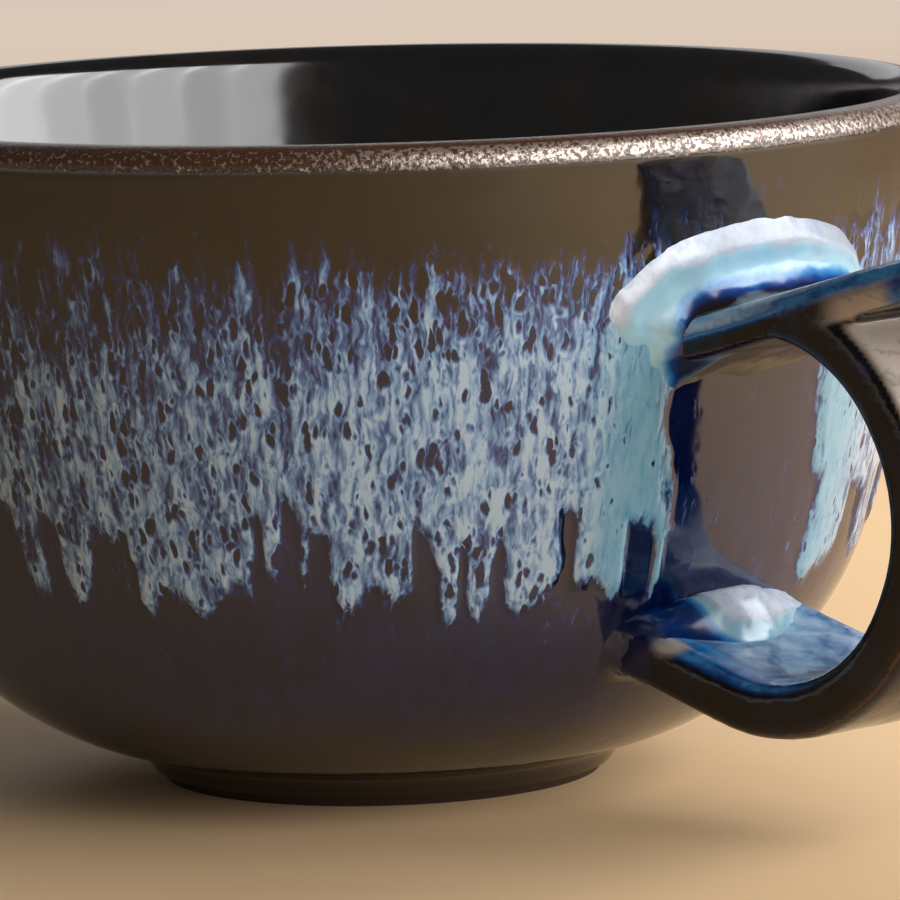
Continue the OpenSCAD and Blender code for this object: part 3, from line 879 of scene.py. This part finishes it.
class CUP_OT_joints(Operator):
    """Extrude the two pools of slip and glaze from rings on the wall to the limbs."""

    bl_idname = "cup.joints"
    bl_label = "Joints"

    def execute(self, context):
        s = context.scene.cup_handle
        material = pool_material(context.scene.cup_colours)
        upper = self.pool(
            context, "upper_slip_joint", 1, s.hole_r - s.limb_sink + s.limb_t / 2, s.limb_t,
            wide=15.2 * MM, high=7.9 * MM, deep=6.4 * MM, middle=46 * MM, square=2.0, shift=-2 * MM,
        )
        dressed(upper, material, "upper_joint_glaze", "upper_slip_joint")
        lower = self.pool(
            context, "lower_slip_joint", -1, s.hole_r + s.strap_t / 2, s.strap_t,
            wide=11.2 * MM, high=3.4 * MM, deep=4.4 * MM, middle=16.4 * MM, square=3.2, shift=0,
        )
        dressed(lower, material, "lower_joint_glaze", "lower_slip_joint")
        return {"FINISHED"}

    def flow(self, side, t, under, y):
        """How far the glaze has run from white: dark below, blue on the near half of the lower joint."""
        if side > 0:
            near = smooth(-8 * MM, -12.5 * MM, y)
            above = blend(t, 0.3 + 0.36 * smooth(0.8, 1, t), near * smooth(-0.1, 0.5, under + 0.5 * t))
            return blend(above, 0.72, under * (1 - near))
        above = blend(0.54 * t**3, 0.6, smooth(-3.4 * MM, -6.4 * MM, y))
        return blend(above, 0.74, under)

    def section(self, right, up, half_w, half_t, round_r):
        """Points round a limb's section, a box with round corners, in the directions given."""
        size = np.maximum(np.abs(right), np.abs(up))
        y = half_w * right / size
        z = half_t * up / size
        over_y = np.maximum(np.abs(y) - half_w + round_r, 0)
        over_z = np.maximum(np.abs(z) - half_t + round_r, 0)
        pull = round_r / np.maximum(np.hypot(over_y, over_z), 1e-9)
        corner = (over_y > 0) & (over_z > 0)
        y = np.where(corner, np.sign(y) * (half_w - round_r + over_y * pull), y)
        z = np.where(corner, np.sign(z) * (half_t - round_r + over_z * pull), z)
        return y, z

    def pool(self, context, name, side, off, thick, wide, high, deep, middle, square, shift):
        """One pool: rings that start on the wall and shrink to the limb's section as they leave it."""
        cup = context.scene.cup_sizes
        s = context.scene.cup_handle
        form = CupForm(cup)
        count = 144
        turn = np.linspace(0, 2 * math.pi, count, endpoint=False)
        right = np.cos(turn)
        up = np.sin(turn)
        ragged = np.array([noise.noise((2.2 * a, 2.2 * b, side)) for a, b in zip(right, up)])
        oval = (np.abs(right) ** square + np.abs(up) ** square) ** (-1 / square) * (1 + 0.03 * ragged)
        edge_y = wide * right * oval + shift
        full = smooth(0, 0.6, up) * np.exp(-(np.abs((edge_y + 1.2 * MM) / (6.2 * MM)) ** 2.6)) * (side < 0)
        deep = deep + 2.4 * MM * smooth(-6 * MM, -12 * MM, edge_y) * (side > 0)
        edge_z = middle + np.where(up > 0, high, deep) * up * oval
        tip_y, tip_z = self.section(right, up, s.strap_w / 2 + 0.2 * MM, thick / 2 + 0.2 * MM, s.edge_r)
        tip_z = tip_z / math.cos(s.limb_slope)
        near = smooth(-6 * MM, -10 * MM, tip_y) * (side > 0)
        longest = s.joint_reach + 3 * MM * full - 3.6 * MM * near

        def ring(t):
            shrink = math.sin(t * math.pi / 2)
            lip = 0.7 * MM * math.exp(-(((t - 0.18) / 0.12) ** 2)) * smooth(-0.5, 0.3, up) * (side > 0)
            lump = 2.6 * MM * math.exp(-(abs((t - 0.45) / 0.38) ** 2.4)) * full
            reach = longest * (1 - math.cos(t * math.pi / 2)) - 0.25 * MM * max(0, 1 - t / 0.04)
            reach = reach + lip + 0.7 * lump
            guess = np.sqrt(form.wall(middle + tip_z, cup.glaze_t) ** 2 - tip_y**2) + reach
            limb_z = off / math.cos(s.limb_slope) + (guess - s.ring_x) * math.tan(s.limb_slope)
            y = blend(edge_y, tip_y, shrink)
            z = blend(edge_z, tip_z + s.ring_z + side * limb_z, shrink) + lump
            x = np.sqrt(form.wall(z, cup.glaze_t) ** 2 - y**2) + reach
            return np.stack([x, y, z], 1)

        bpy.ops.mesh.primitive_circle_add(vertices=count, radius=wide, fill_type="NGON", calc_uvs=False)
        piece = started(name)
        levels = np.linspace(0, 1, 30)
        for _ in levels[1:]:
            push((0, 0, MM))
        mode("OBJECT")
        x, y, z = points_of(piece).T
        step = np.round(z / MM).astype(int)
        spoke = np.round(np.arctan2(y, x) / (2 * math.pi) * count).astype(int) % count
        points = np.array([ring(t) for t in levels])[step, spoke]
        flow = self.flow(side, levels[step], smooth(0.1, -0.5, up)[spoke], points[:, 1])
        wall = (side < 0) * smooth(-8.5 * MM, -10 * MM, points[:, 1])
        piece.data.vertices.foreach_set("co", points.astype(np.float32).ravel())
        piece.data.update()
        keep_fields(piece, flow=flow, wall=wall)
        mode("EDIT")
        tidy_up(60)
        uneven(piece, "Lumps", 2.4 * MM, 0.35 * MM, 2)
        return piece


class StageSettings(PropertyGroup):
    """The camera, the floor and the light."""

    handle_turn: tilt("Handle turn", "Angle of the handle from the camera's side", 43)
    distance: length("Distance", "From the cup's axis to the camera", 706.2)
    high: length("Height", "Height of the camera above the table", 124.1)
    lens: FloatProperty(name="Lens", description="Focal length in millimetres", default=313.7)
    yaw: tilt("Yaw", "Camera's turn to the right of the axis", 0.554)
    pitch: tilt("Pitch", "Camera's upward tilt", -7.664)
    roll: tilt("Roll", "Camera's roll", -1.465)
    floor: colour("Floor", "Plain pale floor", 237, 198, 150)
    glow: FloatProperty(name="Floor lift", description="How much paler the floor shows", default=0.55)
    backdrop: colour("Backdrop", "Plain pale backdrop", 234, 225, 220)


class CUP_OT_stage(Operator):
    """Set the floor, the soft window light and the camera."""

    bl_idname = "cup.stage"
    bl_label = "Stage"

    def execute(self, context):
        stage = context.scene.cup_stage
        self.floor(context, stage)
        self.window(stage)
        self.world(context, stage)
        self.camera(context, stage)
        context.scene.view_settings.view_transform = "Standard"
        return {"FINISHED"}

    def floor(self, context, stage):
        """A pale floor that shows paler far from the cup and on its sunny side; it lights nothing itself."""
        bpy.ops.mesh.primitive_plane_add(size=12)
        floor = context.object
        floor.name = "floor"
        nodes = Nodes("floor")
        far = nodes.vector("LENGTH", nodes.place)
        sunny = nodes.vector("DOT_PRODUCT", nodes.place, self.around(stage, 105, 1, 0))
        sunny = nodes.times(nodes.range(sunny, -0.03, 0.12), nodes.range(far, 0.34, 0.16))
        lift = nodes.math("MAXIMUM", nodes.range(far, 0.25, 1.0), sunny)
        material = nodes.finish(
            Base_Color=stage.floor,
            Roughness=0.7,
            Emission_Color=nodes.mix(nodes.range(far, 0.22, 0.4), stage.floor, stage.backdrop),
            Emission_Strength=nodes.times(lift, stage.glow, nodes.math("MAXIMUM", *nodes.looks())),
        )
        floor.data.materials.append(material)

    def around(self, stage, right, reach, z):
        """A place at an angle to the right of the camera's side, as seen from the cup."""
        a = -stage.handle_turn + math.radians(right)
        return Vector((reach * math.cos(a), reach * math.sin(a), z))

    def window(self, stage):
        """A tall window to the right, in panes, and a faint one behind the cup."""
        panes = ((26, 0.9), (38, 0.8), (50, 1.0), (62, 0.9), (74, 1.1), (86, 1.45), (98, 1.45))
        for i, (right, bright) in enumerate(panes):
            self.pane("window_%d" % i, self.around(stage, right, 0.65, 0.3), 0.15, 0.56, 3.4 * bright)
        self.pane("window_behind", self.around(stage, 180, 0.9, 0.45), 1.2, 0.4, 1.0)

    def pane(self, name, place, wide, tall, bright):
        """One pane of that size and brightness, turned to the cup."""
        light = bpy.data.lights.new(name, "AREA")
        light.shape = "RECTANGLE"
        light.size = wide
        light.size_y = tall
        light.energy = bright * wide * tall * math.pi
        light.color = (0.98, 0.98, 1.0)
        lamp = bpy.data.objects.new(name, light)
        bpy.context.scene.collection.objects.link(lamp)
        lamp.location = place
        lamp.rotation_euler = (Vector((0, 0, 0.04)) - place).to_track_quat("-Z", "Y").to_euler()
        lamp.visible_camera = False

    def world(self, context, stage):
        """Dim all-round light, with the pale backdrop where the camera looks and low down in reflections."""
        world = bpy.data.worlds.new("studio")
        context.scene.world = world
        nodes = Tree(world)
        dim = nodes.fill(nodes.tree.nodes["Background"], Color=(1.0, 0.97, 0.94), Strength=0.08)
        pale = nodes.add("Background", Color=stage.backdrop)
        height = nodes.split(nodes.add("TexCoord").outputs["Generated"])["Z"]
        straight, mirrored = nodes.looks()
        low = nodes.times(mirrored, nodes.range(height, 0.12, 0.0, kind="LINEAR"))
        mix = nodes.add("MixShader", Fac=nodes.math("MAXIMUM", low, straight))
        nodes.put(mix.inputs[1], dim.outputs[0])
        nodes.put(mix.inputs[2], pale.outputs[0])
        nodes.fill(nodes.tree.nodes["World Output"], Surface=mix.outputs[0])

    def camera(self, context, stage):
        """The camera at the photograph's angle."""
        lens = bpy.data.cameras.new("camera")
        lens.lens = stage.lens
        lens.sensor_width = 36
        lens.clip_start = 0.05
        camera = bpy.data.objects.new("camera", lens)
        context.scene.collection.objects.link(camera)
        turn = Matrix.Rotation(math.pi / 2 - stage.handle_turn, 4, "Z")
        look = Matrix.Rotation(-stage.yaw, 4, "Z") @ Matrix.Rotation(math.pi / 2 + stage.pitch, 4, "X")
        spot = Matrix.Translation((0, -stage.distance, stage.high))
        camera.matrix_world = turn @ spot @ look @ Matrix.Rotation(stage.roll, 4, "Z")
        context.scene.camera = camera


class CUP_PT_panel(Panel):
    """The cup's pieces and sizes in the sidebar."""

    bl_idname = "CUP_PT_panel"
    bl_label = "Tea cup"
    bl_space_type = "VIEW_3D"
    bl_region_type = "UI"
    bl_category = "Tea cup"

    def draw(self, context):
        for maker in PIECES:
            self.layout.operator(maker.bl_idname)
        for group in GROUPS:
            settings = getattr(context.scene, group)
            for key in settings.bl_rna.properties.keys():
                if key not in ("rna_type", "name"):
                    self.layout.prop(settings, key)


PIECES = (
    CUP_OT_clay,
    CUP_OT_outer_glaze,
    CUP_OT_inner_glaze,
    CUP_OT_drip_coat,
    CUP_OT_handle,
    CUP_OT_joints,
    CUP_OT_stage,
)
GROUPS = {
    "cup_sizes": CupSizes,
    "cup_handle": HandleSizes,
    "cup_colours": GlazeColours,
    "cup_stage": StageSettings,
}


def register():
    for kind in (*GROUPS.values(), *PIECES, CUP_PT_panel):
        bpy.utils.register_class(kind)
    for name, kind in GROUPS.items():
        setattr(Scene, name, PointerProperty(type=kind))


def unregister():
    for name in GROUPS:
        delattr(Scene, name)
    for kind in (CUP_PT_panel, *reversed(PIECES), *GROUPS.values()):
        bpy.utils.unregister_class(kind)


def main():
    register()
    bpy.ops.cup.clay()
    bpy.ops.cup.outer_glaze()
    bpy.ops.cup.inner_glaze()
    bpy.ops.cup.drip_coat()
    bpy.ops.cup.handle()
    bpy.ops.cup.joints()
    bpy.ops.cup.stage()


if __name__ == "__main__":
    main()
